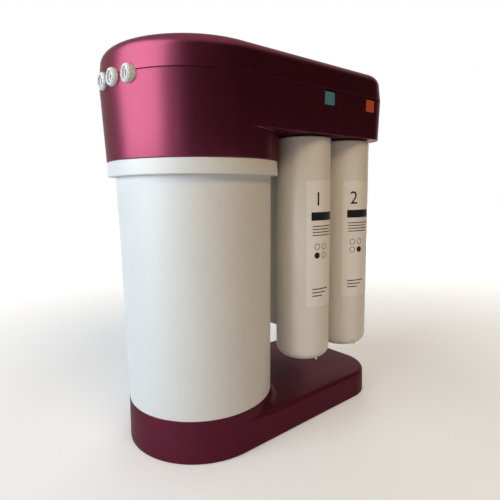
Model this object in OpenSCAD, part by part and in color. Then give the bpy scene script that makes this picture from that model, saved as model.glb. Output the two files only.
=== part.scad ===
// Compact reverse osmosis system: tank, header with four twist-in cartridges, and base.
// Millimetres, +Z up. The origin is at the middle of the footprint, on the floor.
// The long axis is X, with the tank at -X and the cartridges at +X.

/* [Header] */
// Width of the header at its parting line
head_w = 190; // [172:1:210]
// Length of the header from its round end to its front
head_len = 332; // [300:1:370]
// How far past the second pair's axes the front corners start
corner_past = 7; // [6.5:0.25:12]
// Draft of the header's side, from the parting line in to the skirt's edge
head_draft = 3; // [0:0.25:3.5]
// Height of the whole object
total_h = 413; // [370:1:450]
// Height of the lid, from the parting line to the top
lid_h = 31; // [27:0.5:38]
// Height of the header's body over the cartridges
body_h = 47; // [44:0.5:52]
// How far the skirt reaches below the header's underside
skirt_h = 29.5; // [26:0.5:34]
// How far the lid's side leans in, from the parting line up to its rounding
lid_draft = 2; // [0:0.25:4]
// Rounding of the lid's top edge
lid_round = 14; // [8:0.5:16]
// Wall of the header at its parting line
head_wall = 6; // [5:0.25:7]
// Thickness of the header's floor
floor_t = 3; // [2.5:0.25:4]
// Thickness of the lid's top
lid_t = 4; // [3:0.25:5]

/* [Tank] */
// How far the tank stands in from the header's side, just below its collar
tank_in = 11; // [10.5:0.2:14]
// How much narrower the tank is at the rim of the base's cup
tank_taper = 2.4; // [1.6:0.1:4]
// How far the tank's foot steps in, to stand in the base's cup
tank_step = 3.5; // [3:0.25:5]
// Wall of the tank
tank_wall = 3; // [2:0.25:4]
// How far the collar stands in from the header's side
collar_in = 4; // [3.5:0.25:5.5]
// Height of the collar
collar_h = 15; // [10:0.5:18]
// How much further the collar stands out at its lower edge
collar_flare = 0.8; // [0:0.1:1.5]
// Thickness of the tank's rim flange
rim_t = 4; // [3:0.25:5]
// Thickness of the cap's flange
cap_t = 4.5; // [3.5:0.25:6]
// Wall of the water bag
bag_wall = 2; // [1:0.25:3]

/* [Base] */
// How far the base's side stands out past the tank's lower end
base_past = 0.9; // [0.5:0.1:2]
// How far the base's end stands in from the header's end
base_end_in = 1; // [0.5:0.25:8]
// Rounding of the base's front corners, in plan
base_corner_r = 48; // [36:1:56]
// Height of the deck under the cartridges
deck_z = 33; // [28:0.5:38]
// Height of the cup's rim around the tank
cup_z = 46.5; // [42:0.5:60]
// Rounding of the deck's edge
deck_round = 5; // [3:0.5:7]
// Wall of the base
base_wall = 3; // [2:0.25:4]
// Draft of the base's side
base_draft = 0.5; // [0:0.25:0.5]
// Radius of the fillet between deck and cup
cup_fillet = 9; // [4:0.5:12]
// How far the feet stand out under the base
foot_out = 1; // [0.6:0.1:2]
// Radius of a foot
foot_r = 10; // [6:0.5:14]

/* [Cartridges] */
// Height of a canister's bottom
cart_z = 73.3; // [60:0.5:90]
// Rounding of a canister's bottom edge
cart_round = 12; // [6:0.5:16]
// Wall of a canister
cart_wall = 2.5; // [1.5:0.25:3.5]
// Gap between the first pair of canisters and the tank's collar
cart_tank = 4.75; // [3.5:0.25:7]
// Gap between the two pairs of canisters
cart_space = 9.6; // [9:0.2:14]
// Distance from a canister to the header's side
cart_side = 8.8; // [8:0.2:12]
// Distance from a canister to the header's front
cart_front = 14.8; // [12:0.2:20]
// Gap between a canister's top and the header's underside
cart_gap = 1.5; // [0.8:0.1:3]
// How far a cartridge's neck stands in from the canister's side
neck_in = 10.2; // [9:0.2:12]
// How far the neck's upper step, inside the latch, stands in from the neck
step_in = 5; // [4.5:0.25:6]
// How far the nose that seals in the manifold stands in from the step
nose_in = 2.5; // [2:0.25:3]
// Bore radius of each cartridge's filling
media_bores = [12, 12, 9, 6];

/* [Buttons] */
// Width of a button
button_w = 17.4; // [14:0.2:20]
// Height of a button
button_h = 14.2; // [11:0.2:15]
// Gap over a button, up to the parting line
button_over = 2; // [0.3:0.1:3]
// How far a button's face stands back from the header's side
button_recess = 0.7; // [0.2:0.1:1.5]
// Travel of a button
button_travel = 3; // [2:0.25:3.5]
// Gap between a button and its window
button_gap = 0.3; // [0.2:0.05:0.5]

/* [Fittings] */
// Place across the header of the first fitting
fit_y0 = -34; // [-40:0.5:-31]
// Distance between the fittings
fit_pitch = 20.5; // [19.5:0.5:22]
// How far the fittings lie below the parting line
fit_drop = 2.5; // [0:0.25:4]
// Outer radius of a fitting's nut
nut_r = 8.35; // [7.8:0.05:9.2]
// How far a nut stands out of the header
fit_out = 3.5; // [2.5:0.25:8]
// How far a collet's face lies inside its nut's mouth
collet_in = 2.2; // [1.6:0.1:3]
// Radius of the collet's bore, for a 6.35 mm tube
collet_bore = 3.25; // [3.2:0.01:3.4]
// Number of grooves round a nut
nut_grooves = 22; // [12:1:30]
// Outer radius of the inner tubes
tube_r = 3.175; // [2.5:0.025:3.2]
// Wall of the inner tubes
tube_wall = 1; // [0.6:0.1:1.2]

/* [Hidden] */

$fn = 96;
// Facets of the hulled outlines
hull_fn = 64;
// Thickness of the slices that a hull joins
slice = 0.02;
// How far a cut runs past the face that it opens
past = 1;
// Gap between pieces that seat in each other
seat_gap = 0.3;
// Radial clearance of a running fit
run_gap = 0.06;

burgundy = "#6e1f3a";
cream = "#d9cfbf";
white = "#eef0ee";
dark_grey = "#3c3c40";
rubber_black = "#1c1c1e";
steel = "#b9bcc0";
button_colours = ["#3f8d86", "#c85a24", "#3f8d86", "#c85a24"];

// Plan positions, with the whole length centred on the origin: the fitting nearest the middle
// reaches furthest past the round end. The fourth place is for the tube from the tank.
head_r = head_w / 2;
fit_y = [for (i = [0:3]) fit_y0 + i * fit_pitch];
fit_reach = fit_out - head_r + max([for (i = [0:2]) sqrt(head_r * head_r - fit_y[i] * fit_y[i])]);
front_x = (head_len + fit_reach) / 2;
back_x = front_x - head_len;
tank_x = back_x + head_r;
collar_r = head_r - collar_in;
tank_r_top = head_r - tank_in;
tank_r_low = tank_r_top - tank_taper;
tank_foot_r = tank_r_low - tank_step;
base_r = tank_r_low + base_past;
base_end_x = front_x - base_end_in;

// Radius of the canisters that just leaves the named gaps to collar, side, front and next pair:
// (cart_run - 3 r)^2 + (cart_half - r)^2 = (cart_reach + r)^2
cart_run = front_x - tank_x - cart_front - cart_space;
cart_half = head_r - cart_side;
cart_reach = collar_r + cart_tank;
cart_sum = 3 * cart_run + cart_half + cart_reach;
cart_r = (cart_sum - sqrt(cart_sum * cart_sum
    - 9 * (cart_run * cart_run + cart_half * cart_half - cart_reach * cart_reach))) / 9;
neck_r = cart_r - neck_in;
step_r = neck_r - step_in;
nose_r = step_r - nose_in;
corner_r = cart_front + cart_r - corner_past;
cart_x = [tank_x + cart_run - 3 * cart_r, tank_x + cart_run - cart_r + cart_space];
cart_mid_x = (cart_x[0] + cart_x[1]) / 2;
cart_y = cart_half - cart_r;
// Cartridges and their buttons: near pair first, then the far pair
cart_at = [[cart_x[0], -cart_y], [cart_x[1], -cart_y], [cart_x[0], cart_y], [cart_x[1], cart_y]];

// Heights of the header's edges
split_z = total_h - lid_h;
under_z = split_z - body_h;
skirt_z = under_z - skirt_h;

function side_of(i) = cart_at[i][1] < 0 ? -1 : 1;
function draft_at(z) = head_draft * (split_z - z) / (split_z - skirt_z);

// Heights inside the header
shelf_t = 5;
lug_h = 4;
socket_roof = 3;
floor_top = under_z + floor_t;
shelf_top = floor_top + shelf_t;
groove_top = shelf_top + lug_h + 2 * seat_gap;
socket_top = groove_top + socket_roof;
yoke_z = socket_top + seat_gap;
yoke_t = 3;
boss_z = yoke_z + yoke_t + seat_gap;
boss_drop = 1.2;
plate_z = boss_z + boss_drop;
plate_t = 10;
plate_top = plate_z + plate_t;
nose_len = 17;
nose_top = boss_z + nose_len;
boss_roof = 4;
boss_top = nose_top + boss_roof;

// Plan of the header or the base: a round end and two rounded front corners, set in by inset
module long_plan(half, end_x, corner, inset) {
    corner_x = end_x - corner;
    translate([tank_x, 0]) circle(r = half - inset);
    translate([tank_x, -half + inset]) square([corner_x - tank_x, 2 * (half - inset)]);
    translate([corner_x - past, -half + corner]) square([corner - inset + past, 2 * (half - corner)]);
    for (s = [-1, 1]) translate([corner_x, s * (half - corner)]) circle(r = corner - inset);
}

module head_plan(inset) {
    long_plan(head_r, front_x, corner_r, inset);
}

module base_plan(inset) {
    long_plan(base_r, base_end_x, base_corner_r, inset);
}

// One thin slice of the header's or the base's plan, for a hull
module plan_slice(z, inset) {
    translate([0, 0, z]) linear_extrude(slice) head_plan(inset, $fn = hull_fn);
}

module base_slice(z, inset) {
    translate([0, 0, z]) linear_extrude(slice) base_plan(inset, $fn = hull_fn);
}

// Half of a turned outline: a block from the axis out, with rounded lower and upper outer corners
module turned_block(r, z0, z1, low_r, top_r) {
    translate([0, z0 + low_r]) square([r, z1 - z0 - low_r - top_r]);
    translate([0, z0]) square([r - low_r, low_r + past]);
    translate([0, z1 - top_r - past]) square([r - top_r, top_r + past]);
    translate([r - low_r, z0 + low_r]) circle(r = low_r);
    translate([r - top_r, z1 - top_r]) circle(r = top_r);
}

// A ring with a round section about a vertical axis
module ring_seal(major, minor) {
    rotate_extrude() translate([major, 0]) circle(r = minor, $fn = 24);
}

// Cylinder along +X from a point
module rod_x(p, r, len) {
    translate(p) rotate([0, 90, 0]) cylinder(r = r, h = len);
}

// A screw pointing up, with a pan head below
screw_head_r = 3;
screw_head_h = 2;
screw_r = 1.5;
screw_gap = 0.1;
module screw_up(p, z_head, len) {
    translate([p[0], p[1], z_head]) cylinder(r = screw_head_r, h = screw_head_h, $fn = 32);
    translate([p[0], p[1], z_head]) cylinder(r = screw_r, h = screw_head_h + len, $fn = 32);
}

/* Base */

base_z = foot_out;
cup_floor_t = 3;
plate_low_t = 2.5;
foot_seat = 1;
cup_room = 3.5;
tank_z = base_z + plate_low_t + cup_room + cup_floor_t;
cup_floor_z = tank_z - cup_floor_t;
cup_step = 0.4;
cup_r = base_r - cup_step;
// Where the tank's foot steps in, just over the cup's rim
step_z = cup_z + seat_gap;
// Feet: a back pair inside the cup's round, a front pair inside the front corners
foot_in = 30;
foot_back = (head_r - foot_in) * cos(45);
foot_front_in = 42;
foot_side_in = 37;
foot_front_x = front_x - foot_front_in;
foot_front_y = head_r - foot_side_in;
foot_spots = [for (s = [-1, 1]) each [[tank_x - foot_back, s * foot_back], [foot_front_x, s * foot_front_y]]];
base_screw_past = 5;
base_screw_in = 26;
base_screw_back_x = tank_x + head_r + base_screw_past;
base_screw_front_x = front_x - base_screw_in;
base_screw_y = 41;
base_screw_spots = [
    for (s = [-1, 1]) for (x = [base_screw_back_x, base_screw_front_x]) [x, s * base_screw_y]
];
base_screw_len = 12;
base_boss_r = 4.5;

function tank_r(z) = tank_r_low + (tank_r_top - tank_r_low) * (z - cup_z) / (skirt_z - collar_h - cup_z);

// Cone that follows the tank's taper, grown by extra
module tank_cone(z0, z1, extra) {
    translate([tank_x, 0, z0]) cylinder(h = z1 - z0, r1 = tank_r(z0) + extra, r2 = tank_r(z1) + extra);
}

module base_outside() {
    hull() {
        base_slice(base_z, -base_draft);
        for (a = [0:18:90])
            base_slice(deck_z - deck_round * (1 - sin(a)) - slice, deck_round * (1 - cos(a)));
    }
    // Cup round the tank
    translate([tank_x, 0, deck_z - deck_round])
        cylinder(r = cup_r, h = cup_z - deck_z + deck_round);
    // Fillet from the deck up to the cup, kept inside the deck
    intersection() {
        translate([tank_x, 0, deck_z - past]) rotate_extrude() difference() {
            translate([cup_r - past, 0]) square([cup_fillet + past, cup_fillet + past]);
            translate([cup_r + cup_fillet, cup_fillet + past]) circle(r = cup_fillet);
        }
        translate([0, 0, deck_z - past])
            linear_extrude(cup_fillet + 2 * past) base_plan(deck_round);
    }
}

module base() {
    color(burgundy) difference() {
        union() {
            difference() {
                base_outside();
                // Room under the deck, round the cup's wall
                difference() {
                    translate([0, 0, base_z - past]) linear_extrude(deck_z - base_wall - base_z + past)
                        base_plan(base_wall);
                    translate([tank_x, 0, base_z + plate_low_t]) cylinder(r = cup_r, h = cup_z);
                }
            }
            for (p = base_screw_spots) translate([p[0], p[1], base_z + plate_low_t])
                cylinder(r = base_boss_r, h = deck_z - base_wall - base_z - plate_low_t + past / 2);
        }
        // Cup for the tank, and the room under its floor
        translate([tank_x, 0, tank_z]) cylinder(r = tank_foot_r + seat_gap, h = cup_z - tank_z + past);
        translate([tank_x, 0, base_z - past])
            cylinder(r = cup_r - 2 * base_wall, h = cup_floor_z - base_z + past);
        for (p = base_screw_spots) translate([p[0], p[1], base_z])
            cylinder(r = screw_r + screw_gap, h = plate_low_t + base_screw_len, $fn = 32);
    }
}

module base_plate() {
    color(dark_grey) difference() {
        translate([0, 0, base_z]) linear_extrude(plate_low_t) base_plan(base_wall + seat_gap);
        for (p = foot_spots) translate([p[0], p[1], base_z - past])
            cylinder(r = foot_r + seat_gap, h = foot_seat + past);
        for (p = base_screw_spots) translate([p[0], p[1], base_z - past]) {
            cylinder(r = screw_head_r + seat_gap, h = past + 2, $fn = 32);
            cylinder(r = screw_r + screw_gap, h = past + plate_low_t + past, $fn = 32);
        }
    }
}

module feet() {
    color(rubber_black) for (p = foot_spots) translate([p[0], p[1], 0]) rotate_extrude()
        intersection() {
            turned_block(foot_r, 0, foot_out + foot_seat, 0.4, 0.2, $fn = 24);
            square([foot_r, foot_out + foot_seat]);
        }
}

module base_screws() {
    color(steel) for (p = base_screw_spots)
        screw_up(p, base_z + 2 - screw_head_h, base_screw_len - 1);
}

/* Tank */

rim_gap = 1;
rim_r = collar_r - 3.5;
rim_top = skirt_z + rim_t;
cap_top = rim_top + cap_t;
spigot_len = 10;
spigot_gap = 0.4;
seal_minor = 1;
cap_boss_r = 11;
cap_boss_over = 8;
cap_port_z = cap_top + 28;
cap_port_len = 26;
cap_nipple_r = 12;
cap_nipple_len = 14;
riser_r = 5;
riser_bore = 3;
bag_gap = 6;
bag_neck_len = 10;
riser_clear = 20;

module tank_shell() {
    color(white) difference() {
        union() {
            translate([tank_x, 0, tank_z]) cylinder(r = tank_foot_r, h = step_z - tank_z + past);
            tank_cone(step_z, skirt_z + past, 0);
            translate([tank_x, 0, skirt_z]) cylinder(r = rim_r, h = rim_t);
        }
        translate([tank_x, 0, tank_z + tank_wall]) cylinder(r = tank_foot_r - tank_wall, h = step_z - tank_z);
        tank_cone(step_z + tank_wall, rim_top + past, -tank_wall);
    }
}

module tank_collar() {
    low = skirt_z - collar_h;
    inner = tank_r(skirt_z) + seat_gap;
    color(white) translate([tank_x, 0, 0]) rotate_extrude()
        polygon([[inner, low], [collar_r + collar_flare, low], [collar_r, skirt_z], [inner, skirt_z]]);
}

module tank_cap() {
    spigot_r = tank_r(skirt_z) - tank_wall - spigot_gap;
    color(white) difference() {
        union() {
            translate([tank_x, 0, rim_top]) cylinder(r = rim_r, h = cap_t);
            translate([tank_x, 0, rim_top - spigot_len]) cylinder(r = spigot_r, h = spigot_len + past);
            translate([tank_x, 0, cap_top - past])
                cylinder(r = cap_boss_r, h = cap_port_z - cap_top + cap_boss_over + past);
            rod_x([tank_x, 0, cap_port_z], tube_r + 1.5, cap_port_len);
            translate([tank_x, 0, rim_top - spigot_len - cap_nipple_len])
                cylinder(r = cap_nipple_r, h = cap_nipple_len + past);
        }
        // Groove for the seal
        translate([tank_x, 0, rim_top - spigot_len / 2 - 1.3]) difference() {
            cylinder(r = spigot_r + past, h = 2.6);
            translate([0, 0, -past]) cylinder(r = spigot_r - 2 * seal_minor + 0.3, h = 2.6 + 2 * past);
        }
        // Water way: down to the riser and out to the tube
        translate([tank_x, 0, rim_top - spigot_len - cap_nipple_len - past])
            cylinder(r = riser_bore, h = cap_port_z - rim_top + spigot_len + cap_nipple_len + past);
        translate([tank_x, 0, rim_top - spigot_len - cap_nipple_len - past])
            cylinder(r = riser_r + run_gap, h = cap_nipple_len + past);
        rod_x([tank_x, 0, cap_port_z], tube_r - tube_wall, cap_port_len + past);
    }
}

module tank_seal() {
    spigot_r = tank_r(skirt_z) - tank_wall - spigot_gap;
    color(rubber_black) translate([tank_x, 0, rim_top - spigot_len / 2])
        ring_seal(spigot_r - seal_minor + 0.35, seal_minor);
}

// Half outline of the water bag, set in by inset
module bag_half(inset) {
    top = rim_top - spigot_len - 8;
    bag_r = tank_foot_r - tank_wall - bag_gap;
    low = tank_z + tank_wall + bag_gap;
    intersection() {
        turned_block(bag_r - inset, low + inset, top - bag_neck_len - inset, 30 - inset, 30 - inset);
        square([bag_r, top]);
    }
    translate([0, top - bag_neck_len - 2 * bag_wall])
        square([cap_nipple_r + 2 * bag_wall - inset, bag_neck_len / 2]);
}

module tank_bladder() {
    top = rim_top - spigot_len - 8;
    neck = cap_nipple_r + run_gap;
    color("#8a8f96") translate([tank_x, 0, 0]) rotate_extrude() {
        difference() {
            bag_half(0);
            bag_half(bag_wall);
            translate([0, skirt_z / 2]) square([neck, top]);
        }
        translate([neck, top - bag_neck_len - bag_wall])
            square([2 * bag_wall - run_gap, bag_neck_len + bag_wall]);
    }
}

module tank_riser() {
    low = tank_z + tank_wall + bag_gap + bag_wall + riser_clear;
    top = rim_top - spigot_len;
    color(white) difference() {
        translate([tank_x, 0, low]) cylinder(r = riser_r, h = top - low);
        translate([tank_x, 0, low - past]) cylinder(r = riser_bore, h = top - low + 2 * past);
        for (a = [0, 90]) translate([tank_x, 0, low + 8]) rotate([0, 90, a])
            translate([0, 0, -riser_r - past]) cylinder(r = 1.5, h = 2 * (riser_r + past), $fn = 24);
    }
}

/* Header */

well_r = rim_r + 1;
well_top = cap_top + seat_gap;
clamp_r = rim_r - 9;
clamp_top = well_top + 3.5;
post_r = 6;
post_gap = 2;
post_side = 7;
post_back_x = tank_x + head_r - 28;
post_back_y = head_r - head_wall - post_r - post_side;
post_front_x = front_x - head_wall - post_r - post_gap;
lid_posts = [[post_front_x, 0], [post_back_x, -post_back_y], [post_back_x, post_back_y]];
post_foot = under_z + 15;
post_screw_z = under_z + 7;
post_screw_len = 20;
valve_r = 20;
valve_rim = 1.5;
// Stands for the manifold: two between the sockets of each pair, two beside the valve
stand_r = 5;
stand_gap = 2.5;
stand_h = 12;
stand_y = valve_r + valve_rim + stand_gap + stand_r;
stand_spots = [[cart_x[0], 0], [cart_x[1], 0], [cart_mid_x, -stand_y], [cart_mid_x, stand_y]];
stand_top = floor_top + stand_h;
fit_z = split_z - fit_drop;
nut_gap = 0.2;
rib_in = 24;
rib_t = 4;
rib_h = 22;
rib_x = back_x + rib_in;
rib_z = fit_z - rib_h;
body_r = 7;

function wall_x(y) = tank_x - sqrt(head_r * head_r - y * y);
function face_x(i) = wall_x(fit_y[i]) - fit_out;

// The three fittings' cylinders, for holes and notches
module fitting_holes(r) {
    for (i = [0:2]) rod_x([face_x(i), fit_y[i], fit_z], r, rib_x - face_x(i));
}

// Window of one button, open up to the parting line
module button_window(i) {
    s = side_of(i);
    w = button_w + 2 * button_gap;
    h = button_over + button_h + button_gap;
    translate([cart_at[i][0] - w / 2, s * head_r - (head_wall + past), split_z - h])
        cube([w, 2 * (head_wall + past), h + past]);
}

module header_body() {
    color(burgundy) difference() {
        union() {
            difference() {
                union() {
                    hull() {
                        plan_slice(under_z, draft_at(under_z));
                        plan_slice(split_z - slice, 0);
                    }
                    translate([tank_x, 0, skirt_z]) cylinder(
                        h = under_z - skirt_z, r1 = head_r - head_draft, r2 = head_r - draft_at(under_z));
                }
                translate([0, 0, floor_top]) linear_extrude(split_z - floor_top + past) head_plan(head_wall);
                translate([tank_x, 0, clamp_top])
                    cylinder(r = head_r - head_wall, h = floor_top - clamp_top + past);
                translate([tank_x, 0, skirt_z - past]) cylinder(r = well_r, h = well_top - skirt_z + past);
                translate([tank_x, 0, skirt_z - past])
                    cylinder(r = clamp_r, h = clamp_top - skirt_z + 2 * past);
            }
            // Posts for the lid's screws and stands for the manifold
            for (p = lid_posts) translate([p[0], p[1], under_z])
                cylinder(r = post_r, h = post_foot - under_z);
            for (p = stand_spots) translate([p[0], p[1], under_z])
                cylinder(r = stand_r, h = stand_top - under_z);
            // Rib that carries the fittings
            intersection() {
                translate([rib_x, -head_r, rib_z]) cube([rib_t, head_w, fit_z - rib_z]);
                linear_extrude(split_z) head_plan(head_wall - past);
            }
        }
        for (i = [0:3]) translate([cart_at[i][0], cart_at[i][1], under_z - past])
            cylinder(r = socket_plug_r + seat_gap, h = floor_t + 2 * past);
        for (i = [0:3]) button_window(i);
        fitting_holes(nut_r + nut_gap);
        for (i = [0:2]) rod_x([rib_x - past, fit_y[i], fit_z], body_r + nut_gap, rib_t + 2 * past);
        for (p = lid_posts) translate([p[0], p[1], under_z - past]) {
            cylinder(r = screw_head_r + seat_gap, h = post_screw_z + screw_head_h - under_z + past, $fn = 32);
            cylinder(r = screw_r + screw_gap, h = post_foot - under_z + 2 * past, $fn = 32);
        }
        for (p = stand_spots) translate([p[0], p[1], floor_top])
            cylinder(r = screw_r + screw_gap, h = stand_top, $fn = 32);
    }
}

// Share of the rounding by which the lid's upper room stands in
lid_in_share = 0.7;

module header_lid() {
    color(burgundy) difference() {
        union() {
            difference() {
                // Leaning side that runs into the rounding
                hull() {
                    plan_slice(split_z, 0);
                    for (a = [15:15:90]) plan_slice(
                        total_h - lid_round * (1 - sin(a)) - slice, lid_draft + lid_round * (1 - cos(a)));
                }
                // Room inside, narrower under the rounding
                translate([0, 0, split_z - past])
                    linear_extrude(lid_h - lid_round + past) head_plan(head_wall);
                translate([0, 0, split_z])
                    linear_extrude(lid_h - lid_t) head_plan(lid_draft + lid_in_share * lid_round);
            }
            for (p = lid_posts) translate([p[0], p[1], post_foot])
                cylinder(r = post_r, h = total_h - lid_t - post_foot + past);
        }
        fitting_holes(nut_r + nut_gap);
        for (p = lid_posts) translate([p[0], p[1], post_foot - past])
            cylinder(r = screw_r + screw_gap, h = post_screw_len, $fn = 32);
    }
}

module header_screws() {
    color(steel) for (p = lid_posts) screw_up(p, post_screw_z, post_screw_len);
}

/* Manifold and what sits on it */

boss_r = nose_r + 5;
man_back = 14.5;
man_front = 4.5;
man_x0 = cart_x[0] - boss_r - man_back;
man_x1 = cart_x[1] + boss_r + man_front;
man_y = cart_y + boss_r;
nipple_z = plate_z + plate_t / 2;
nipple_len = 10;
nipple_r = tube_r + 0.3;
spring_z = plate_top + 4.5;
pad_y = cart_y + boss_r + 2.5;
pad_w = 10;
valve_h = 12;
valve_rim_h = 4;
valve_cap_in = 2;
valve_cap_h = 8;
valve_rib_r = 2;
valve_rib_h = 2.5;

module manifold() {
    color("#c9ccce") difference() {
        union() {
            translate([man_x0, -man_y, plate_z]) cube([man_x1 - man_x0, 2 * man_y, plate_t]);
            for (p = cart_at) translate([p[0], p[1], boss_z]) cylinder(r = boss_r, h = boss_top - boss_z);
            for (p = stand_spots) translate([p[0], p[1], stand_top])
                cylinder(r = stand_r, h = plate_z - stand_top + past);
            for (y = fit_y) rod_x([man_x0 - nipple_len, y, nipple_z], nipple_r, nipple_len + past);
            // Pads that the button springs push on
            for (i = [0:3])
                translate([cart_at[i][0] - pad_w / 2, side_of(i) > 0 ? cart_y : -pad_y, plate_top - past])
                    cube([pad_w, pad_y - cart_y, boss_top - plate_top + past]);
        }
        for (p = cart_at) translate([p[0], p[1], boss_z - past])
            cylinder(r = nose_r + run_gap, h = nose_top - boss_z + 1 + past);
        for (y = fit_y) rod_x([man_x0 - nipple_len - past, y, nipple_z], tube_r - tube_wall, nipple_len + 12);
        for (p = stand_spots) translate([p[0], p[1], stand_top - past])
            cylinder(r = screw_r + screw_gap, h = plate_top - stand_top + 2 * past, $fn = 32);
    }
}

module manifold_screws() {
    color(steel) for (p = stand_spots) translate([p[0], p[1], 0]) mirror([0, 0, 1])
        screw_up([0, 0], -plate_top - screw_head_h, plate_top - floor_top - 2);
}

module shutoff_valve() {
    color(white) translate([cart_mid_x, 0, plate_top]) {
        cap_r = valve_r - valve_cap_in;
        cylinder(r = valve_r, h = valve_h);
        translate([0, 0, valve_h]) cylinder(r = valve_r + valve_rim, h = valve_rim_h);
        translate([0, 0, valve_h + valve_rim_h]) {
            cylinder(r = cap_r, h = valve_cap_h);
            for (a = [0:60:300]) rotate([0, 0, a]) translate([cap_r, 0, 0])
                cylinder(r = valve_rib_r, h = valve_rib_h, $fn = 24);
        }
    }
}

// In-line device on one of the manifold's nipples: a bored cylinder with a thicker middle
module inline_device(i, r, len) {
    x0 = man_x0 - nipple_len - len;
    difference() {
        union() {
            rod_x([x0, fit_y[i], nipple_z], r - 1.5, len);
            rod_x([x0 + len / 4, fit_y[i], nipple_z], r, len / 2);
        }
        rod_x([x0 - past, fit_y[i], nipple_z], tube_r - tube_wall, len + 2 * past);
    }
}

restrictor_len = 36;
check_len = 28;

module check_valve() {
    color("#4f86b5") inline_device(2, 7.5, check_len);
}

module flow_restrictor() {
    color("#c8b26a") inline_device(1, 6.5, restrictor_len);
}

// Hollow tube swept along a cubic curve between two ends, both along +X
tube_rings = 14;
tube_sides = 10;

function tube_point(a, b, pull, t) =
    let (p1 = a + [pull, 0, 0], p2 = b - [pull, 0, 0], u = 1 - t)
    u * u * u * a + 3 * u * u * t * p1 + 3 * u * t * t * p2 + t * t * t * b;

function unit(v) = v / norm(v);

function tube_ring(a, b, pull, t, r) =
    let (
        d = t <= 0 || t >= 1 ? [1, 0, 0]
            : unit(tube_point(a, b, pull, t + 0.01) - tube_point(a, b, pull, t - 0.01)),
        side = unit(cross([0, 0, 1], d)),
        up = cross(d, side),
        c = tube_point(a, b, pull, t)
    )
    [for (k = [0:tube_sides - 1])
        c + r * (cos(360 * k / tube_sides) * side + sin(360 * k / tube_sides) * up)];

module tube_between(a, b) {
    pull = (b[0] - a[0]) / 2;
    n = tube_sides;
    m = tube_rings;
    outer = [for (j = [0:m]) each tube_ring(a, b, pull, j / m, tube_r)];
    inner = [for (j = [0:m]) each tube_ring(a, b, pull, j / m, tube_r - tube_wall)];
    h = len(outer);
    polyhedron(concat(outer, inner), concat(
        [for (j = [0:m - 1]) for (k = [0:n - 1]) let (e = (k + 1) % n)
            each [[j * n + k, j * n + n + k, j * n + e], [j * n + e, j * n + n + k, j * n + n + e]]],
        [for (j = [0:m - 1]) for (k = [0:n - 1]) let (e = (k + 1) % n)
            each [[h + j * n + k, h + j * n + e, h + j * n + n + k],
                [h + j * n + e, h + j * n + n + e, h + j * n + n + k]]],
        [for (k = [0:n - 1]) let (e = (k + 1) % n)
            each [[k, e, h + k], [e, h + e, h + k]]],
        [for (k = [0:n - 1]) let (e = (k + 1) % n, q = m * n)
            each [[q + k, h + q + k, q + e], [q + e, h + q + k, h + q + e]]]
    ));
}

fit_end_x = rib_x + rib_t + 12;
nipple_tip_x = man_x0 - nipple_len;

module feed_tube() {
    color("#5c86c4") tube_between([fit_end_x, fit_y[0], fit_z], [nipple_tip_x, fit_y[0], nipple_z]);
}

module drain_tube() {
    color("#b8b8b8")
        tube_between([fit_end_x, fit_y[1], fit_z], [nipple_tip_x - restrictor_len, fit_y[1], nipple_z]);
}

module product_tube() {
    color("#d8dcdc")
        tube_between([fit_end_x, fit_y[2], fit_z], [nipple_tip_x - check_len, fit_y[2], nipple_z]);
}

module tank_tube() {
    color("#d8dcdc") tube_between([tank_x + cap_port_len, 0, cap_port_z], [nipple_tip_x, fit_y[3], nipple_z]);
}

/* Fittings */

collet_r = 4.5;
collet_head_r = 5.2;
collet_head_t = 2;
collet_len = 10.6;
collet_travel = 1.5;
nut_front = collet_in + collet_head_t + collet_travel + seat_gap;
nut_len = 15;
flange_t = 2.5;
seal_x = collet_in + collet_len + collet_travel + 1.1;
stop_x = seal_x + 1.6;

module fitting(i) {
    x = face_x(i);
    color(white) translate([0, fit_y[i], fit_z]) difference() {
        union() {
            rod_x([x + nut_front, 0, 0], body_r, fit_end_x - x - nut_front);
            rod_x([rib_x - flange_t - seat_gap, 0, 0], body_r + 2.5, flange_t);
            rod_x([rib_x + rib_t + seat_gap, 0, 0], body_r + 2.5, flange_t);
        }
        rod_x([x, 0, 0], collet_r + run_gap, stop_x);
        rod_x([x, 0, 0], tube_r - tube_wall, fit_end_x - x + past);
    }
}

module fitting_nut(i) {
    x = face_x(i);
    color(white) translate([0, fit_y[i], fit_z]) difference() {
        rod_x([x, 0, 0], nut_r, nut_len);
        rod_x([x - past, 0, 0], collet_head_r + seat_gap, nut_front + 2 * past);
        rod_x([x + nut_front, 0, 0], body_r + run_gap, nut_len);
        for (k = [0:nut_grooves - 1]) rotate([360 * k / nut_grooves, 0, 0])
            rod_x([x + 1.2, 0, nut_r + 0.25], 0.6, nut_len, $fn = 16);
    }
}

module fitting_seals() {
    color(rubber_black) for (i = [0:2]) translate([face_x(i) + seal_x, fit_y[i], fit_z]) rotate([0, 90, 0])
        ring_seal(collet_r - 0.6, 0.55);
}

module collet(i) {
    x = face_x(i) + collet_in;
    color("#dfe3e2") translate([0, fit_y[i], fit_z]) difference() {
        union() {
            rod_x([x, 0, 0], collet_r, collet_len);
            rod_x([x, 0, 0], collet_head_r, collet_head_t);
        }
        rod_x([x - past, 0, 0], collet_bore, collet_len + 2 * past);
    }
}

/* Sockets, cartridges and buttons */

lug_r = neck_r + 3.4;
lug_angle = 36;
slot_angle = 44;
twist = 60;
bore_gap = 0.4;
// The slots stop this much short of the groove's wall
slot_short = 0.1;
socket_r = lug_r + bore_gap + 3.5;
socket_plug_r = socket_r;
socket_flange_r = socket_r + 4.3;

// Sector of a disc, centred on an angle
module sector(r, width, at, h) {
    rotate([0, 0, at - width / 2]) rotate_extrude(angle = width) square([r, h]);
}

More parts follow.
